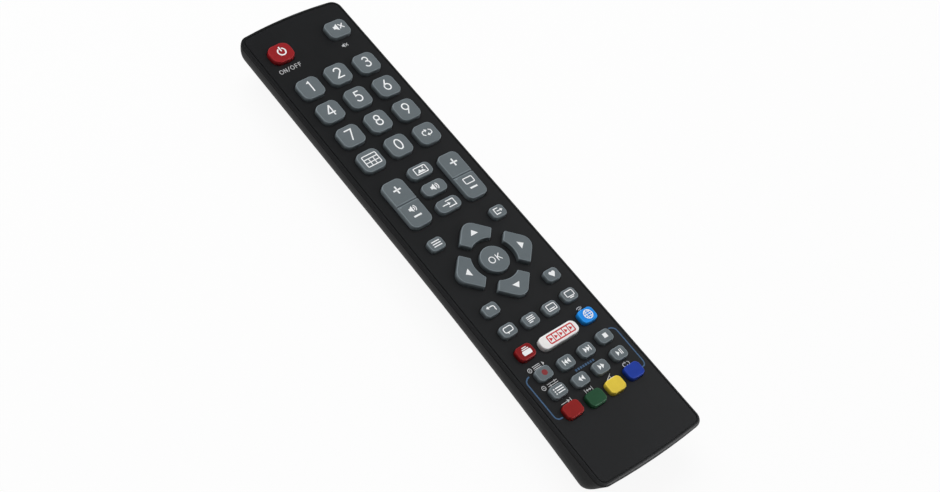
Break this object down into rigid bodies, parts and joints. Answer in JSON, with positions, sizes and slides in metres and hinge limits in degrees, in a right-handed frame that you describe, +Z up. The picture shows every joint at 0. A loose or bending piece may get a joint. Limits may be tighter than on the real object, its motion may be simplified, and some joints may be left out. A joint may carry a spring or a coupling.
{
  "type": "tv remote control",
  "caption": "Full-size hand-held television remote control with a crowned key face, rocking volume and channel keys, a direction pad and a sliding battery cover.",
  "frame": {"origin": "bottom centre of the case, under the middle of its length", "axes": "+Z up out of the key face, +Y along the case towards the infrared end, +X to the right"},
  "size_m": [0.0514, 0.22, 0.0227],
  "materials": {
    "case_black": "satin black ABS, very fine texture",
    "key_grey": "matt grey silicone",
    "key_power_red": "satin red silicone",
    "key_dark_red": "satin dark red silicone",
    "key_white": "satin white silicone",
    "key_bright_blue": "satin blue silicone",
    "key_red": "satin red silicone",
    "key_green": "satin green silicone",
    "key_yellow": "satin yellow silicone",
    "key_deep_blue": "satin deep blue silicone",
    "mat_grey": "matt grey silicone sheet",
    "board_green": "green solder resist",
    "emitter_clear": "clear bluish resin",
    "cell_can": "plain printed can",
    "spring_steel": "nickel-plated spring wire",
    "plate_nickel": "nickel-plated strip",
    "chip_black": "moulded package",
    "capacitor_can": "plain can",
    "screw_steel": "zinc-plated"
  },
  "bodies": {
    "case": {"upper_shell": "case_black", "lower_shell": "case_black", "key_mat": "mat_grey", "circuit_board": "board_green", "ir_emitter": "emitter_clear", "battery_cell_1": "cell_can", "battery_cell_2": "cell_can", "negative_springs": "spring_steel", "positive_plates": "plate_nickel", "controller_chip": "chip_black", "smoothing_capacitor": "capacitor_can", "case_screw": "screw_steel"},
    "cover": {"battery_cover": "case_black"},
    "key_power": {"key_power": "key_power_red"},
    "key_app_red": {"key_app_red": "key_dark_red"},
    "key_app_white": {"key_app_white": "key_white"},
    "key_smart": {"key_smart": "key_bright_blue"},
    "key_red": {"key_red": "key_red"},
    "key_green": {"key_green": "key_green"},
    "key_yellow": {"key_yellow": "key_yellow"},
    "key_blue": {"key_blue": "key_deep_blue"},
    "key_0": {"key_0": "key_grey"},
    "key_1": {"key_1": "key_grey"},
    "key_2": {"key_2": "key_grey"},
    "key_3": {"key_3": "key_grey"},
    "key_4": {"key_4": "key_grey"},
    "key_5": {"key_5": "key_grey"},
    "key_6": {"key_6": "key_grey"},
    "key_7": {"key_7": "key_grey"},
    "key_8": {"key_8": "key_grey"},
    "key_9": {"key_9": "key_grey"},
    "key_mute": {"key_mute": "key_grey"},
    "key_guide": {"key_guide": "key_grey"},
    "key_swap": {"key_swap": "key_grey"},
    "key_picture": {"key_picture": "key_grey"},
    "key_sound": {"key_sound": "key_grey"},
    "key_source": {"key_source": "key_grey"},
    "key_menu": {"key_menu": "key_grey"},
    "key_exit": {"key_exit": "key_grey"},
    "key_up": {"key_up": "key_grey"},
    "key_down": {"key_down": "key_grey"},
    "key_left": {"key_left": "key_grey"},
    "key_right": {"key_right": "key_grey"},
    "key_ok": {"key_ok": "key_grey"},
    "key_back": {"key_back": "key_grey"},
    "key_favourite": {"key_favourite": "key_grey"},
    "key_info": {"key_info": "key_grey"},
    "key_text": {"key_text": "key_grey"},
    "key_subtitle": {"key_subtitle": "key_grey"},
    "key_tv": {"key_tv": "key_grey"},
    "key_record": {"key_record": "key_grey"},
    "key_previous": {"key_previous": "key_grey"},
    "key_next": {"key_next": "key_grey"},
    "key_stop": {"key_stop": "key_grey"},
    "key_record_list": {"key_record_list": "key_grey"},
    "key_rewind": {"key_rewind": "key_grey"},
    "key_forward": {"key_forward": "key_grey"},
    "key_play": {"key_play": "key_grey"},
    "key_volume": {"key_volume": "key_grey"},
    "key_channel": {"key_channel": "key_grey"}
  },
  "joints": [
    {"name": "cover_slide", "type": "slide", "parent": "case", "child": "cover", "axis": [0, -1, 0], "range_m": [0, 0.063]},
    {"name": "key_volume_rock", "type": "hinge", "parent": "case", "child": "key_volume", "pos_m": [-0.0135, 0.0169, 0.0183], "axis": [1, 0, 0], "range_deg": [-2.5, 2.5], "stiffness_Nm_per_rad": 0.35},
    {"name": "key_channel_rock", "type": "hinge", "parent": "case", "child": "key_channel", "pos_m": [0.0135, 0.0169, 0.0183], "axis": [1, 0, 0], "range_deg": [-2.5, 2.5], "stiffness_Nm_per_rad": 0.35},
    {"name": "key_power_press", "type": "slide", "parent": "case", "child": "key_power", "axis": [0, 0, -1], "range_m": [0, 0.0008], "stiffness_N_per_m": 900, "springref_m": -0.0003},
    {"name": "key_app_red_press", "type": "slide", "parent": "case", "child": "key_app_red", "axis": [0, 0, -1], "range_m": [0, 0.0008], "stiffness_N_per_m": 900, "springref_m": -0.0003},
    {"name": "key_app_white_press", "type": "slide", "parent": "case", "child": "key_app_white", "axis": [0, 0, -1], "range_m": [0, 0.0008], "stiffness_N_per_m": 900, "springref_m": -0.0003},
    {"name": "key_smart_press", "type": "slide", "parent": "case", "child": "key_smart", "axis": [0, 0, -1], "range_m": [0, 0.0008], "stiffness_N_per_m": 900, "springref_m": -0.0003},
    {"name": "key_red_press", "type": "slide", "parent": "case", "child": "key_red", "axis": [0, 0, -1], "range_m": [0, 0.0008], "stiffness_N_per_m": 900, "springref_m": -0.0003},
    {"name": "key_green_press", "type": "slide", "parent": "case", "child": "key_green", "axis": [0, 0, -1], "range_m": [0, 0.0008], "stiffness_N_per_m": 900, "springref_m": -0.0003},
    {"name": "key_yellow_press", "type": "slide", "parent": "case", "child": "key_yellow", "axis": [0, 0, -1], "range_m": [0, 0.0008], "stiffness_N_per_m": 900, "springref_m": -0.0003},
    {"name": "key_blue_press", "type": "slide", "parent": "case", "child": "key_blue", "axis": [0, 0, -1], "range_m": [0, 0.0008], "stiffness_N_per_m": 900, "springref_m": -0.0003},
    {"name": "key_0_press", "type": "slide", "parent": "case", "child": "key_0", "axis": [0, 0, -1], "range_m": [0, 0.0008], "stiffness_N_per_m": 900, "springref_m": -0.0003},
    {"name": "key_1_press", "type": "slide", "parent": "case", "child": "key_1", "axis": [0, 0, -1], "range_m": [0, 0.0008], "stiffness_N_per_m": 900, "springref_m": -0.0003},
    {"name": "key_2_press", "type": "slide", "parent": "case", "child": "key_2", "axis": [0, 0, -1], "range_m": [0, 0.0008], "stiffness_N_per_m": 900, "springref_m": -0.0003},
    {"name": "key_3_press", "type": "slide", "parent": "case", "child": "key_3", "axis": [0, 0, -1], "range_m": [0, 0.0008], "stiffness_N_per_m": 900, "springref_m": -0.0003},
    {"name": "key_4_press", "type": "slide", "parent": "case", "child": "key_4", "axis": [0, 0, -1], "range_m": [0, 0.0008], "stiffness_N_per_m": 900, "springref_m": -0.0003},
    {"name": "key_5_press", "type": "slide", "parent": "case", "child": "key_5", "axis": [0, 0, -1], "range_m": [0, 0.0008], "stiffness_N_per_m": 900, "springref_m": -0.0003},
    {"name": "key_6_press", "type": "slide", "parent": "case", "child": "key_6", "axis": [0, 0, -1], "range_m": [0, 0.0008], "stiffness_N_per_m": 900, "springref_m": -0.0003},
    {"name": "key_7_press", "type": "slide", "parent": "case", "child": "key_7", "axis": [0, 0, -1], "range_m": [0, 0.0008], "stiffness_N_per_m": 900, "springref_m": -0.0003},
    {"name": "key_8_press", "type": "slide", "parent": "case", "child": "key_8", "axis": [0, 0, -1], "range_m": [0, 0.0008], "stiffness_N_per_m": 900, "springref_m": -0.0003},
    {"name": "key_9_press", "type": "slide", "parent": "case", "child": "key_9", "axis": [0, 0, -1], "range_m": [0, 0.0008], "stiffness_N_per_m": 900, "springref_m": -0.0003},
    {"name": "key_mute_press", "type": "slide", "parent": "case", "child": "key_mute", "axis": [0, 0, -1], "range_m": [0, 0.0008], "stiffness_N_per_m": 900, "springref_m": -0.0003},
    {"name": "key_guide_press", "type": "slide", "parent": "case", "child": "key_guide", "axis": [0, 0, -1], "range_m": [0, 0.0008], "stiffness_N_per_m": 900, "springref_m": -0.0003},
    {"name": "key_swap_press", "type": "slide", "parent": "case", "child": "key_swap", "axis": [0, 0, -1], "range_m": [0, 0.0008], "stiffness_N_per_m": 900, "springref_m": -0.0003},
    {"name": "key_picture_press", "type": "slide", "parent": "case", "child": "key_picture", "axis": [0, 0, -1], "range_m": [0, 0.0008], "stiffness_N_per_m": 900, "springref_m": -0.0003},
    {"name": "key_sound_press", "type": "slide", "parent": "case", "child": "key_sound", "axis": [0, 0, -1], "range_m": [0, 0.0008], "stiffness_N_per_m": 900, "springref_m": -0.0003},
    {"name": "key_source_press", "type": "slide", "parent": "case", "child": "key_source", "axis": [0, 0, -1], "range_m": [0, 0.0008], "stiffness_N_per_m": 900, "springref_m": -0.0003},
    {"name": "key_menu_press", "type": "slide", "parent": "case", "child": "key_menu", "axis": [0, 0, -1], "range_m": [0, 0.0008], "stiffness_N_per_m": 900, "springref_m": -0.0003},
    {"name": "key_exit_press", "type": "slide", "parent": "case", "child": "key_exit", "axis": [0, 0, -1], "range_m": [0, 0.0008], "stiffness_N_per_m": 900, "springref_m": -0.0003},
    {"name": "key_up_press", "type": "slide", "parent": "case", "child": "key_up", "axis": [0, 0, -1], "range_m": [0, 0.0008], "stiffness_N_per_m": 900, "springref_m": -0.0003},
    {"name": "key_down_press", "type": "slide", "parent": "case", "child": "key_down", "axis": [0, 0, -1], "range_m": [0, 0.0008], "stiffness_N_per_m": 900, "springref_m": -0.0003},
    {"name": "key_left_press", "type": "slide", "parent": "case", "child": "key_left", "axis": [0, 0, -1], "range_m": [0, 0.0008], "stiffness_N_per_m": 900, "springref_m": -0.0003},
    {"name": "key_right_press", "type": "slide", "parent": "case", "child": "key_right", "axis": [0, 0, -1], "range_m": [0, 0.0008], "stiffness_N_per_m": 900, "springref_m": -0.0003},
    {"name": "key_ok_press", "type": "slide", "parent": "case", "child": "key_ok", "axis": [0, 0, -1], "range_m": [0, 0.0008], "stiffness_N_per_m": 900, "springref_m": -0.0003},
    {"name": "key_back_press", "type": "slide", "parent": "case", "child": "key_back", "axis": [0, 0, -1], "range_m": [0, 0.0008], "stiffness_N_per_m": 900, "springref_m": -0.0003},
    {"name": "key_favourite_press", "type": "slide", "parent": "case", "child": "key_favourite", "axis": [0, 0, -1], "range_m": [0, 0.0008], "stiffness_N_per_m": 900, "springref_m": -0.0003},
    {"name": "key_info_press", "type": "slide", "parent": "case", "child": "key_info", "axis": [0, 0, -1], "range_m": [0, 0.0008], "stiffness_N_per_m": 900, "springref_m": -0.0003},
    {"name": "key_text_press", "type": "slide", "parent": "case", "child": "key_text", "axis": [0, 0, -1], "range_m": [0, 0.0008], "stiffness_N_per_m": 900, "springref_m": -0.0003},
    {"name": "key_subtitle_press", "type": "slide", "parent": "case", "child": "key_subtitle", "axis": [0, 0, -1], "range_m": [0, 0.0008], "stiffness_N_per_m": 900, "springref_m": -0.0003},
    {"name": "key_tv_press", "type": "slide", "parent": "case", "child": "key_tv", "axis": [0, 0, -1], "range_m": [0, 0.0008], "stiffness_N_per_m": 900, "springref_m": -0.0003},
    {"name": "key_record_press", "type": "slide", "parent": "case", "child": "key_record", "axis": [0, 0, -1], "range_m": [0, 0.0008], "stiffness_N_per_m": 900, "springref_m": -0.0003},
    {"name": "key_previous_press", "type": "slide", "parent": "case", "child": "key_previous", "axis": [0, 0, -1], "range_m": [0, 0.0008], "stiffness_N_per_m": 900, "springref_m": -0.0003},
    {"name": "key_next_press", "type": "slide", "parent": "case", "child": "key_next", "axis": [0, 0, -1], "range_m": [0, 0.0008], "stiffness_N_per_m": 900, "springref_m": -0.0003},
    {"name": "key_stop_press", "type": "slide", "parent": "case", "child": "key_stop", "axis": [0, 0, -1], "range_m": [0, 0.0008], "stiffness_N_per_m": 900, "springref_m": -0.0003},
    {"name": "key_record_list_press", "type": "slide", "parent": "case", "child": "key_record_list", "axis": [0, 0, -1], "range_m": [0, 0.0008], "stiffness_N_per_m": 900, "springref_m": -0.0003},
    {"name": "key_rewind_press", "type": "slide", "parent": "case", "child": "key_rewind", "axis": [0, 0, -1], "range_m": [0, 0.0008], "stiffness_N_per_m": 900, "springref_m": -0.0003},
    {"name": "key_forward_press", "type": "slide", "parent": "case", "child": "key_forward", "axis": [0, 0, -1], "range_m": [0, 0.0008], "stiffness_N_per_m": 900, "springref_m": -0.0003},
    {"name": "key_play_press", "type": "slide", "parent": "case", "child": "key_play", "axis": [0, 0, -1], "range_m": [0, 0.0008], "stiffness_N_per_m": 900, "springref_m": -0.0003}
  ]
}
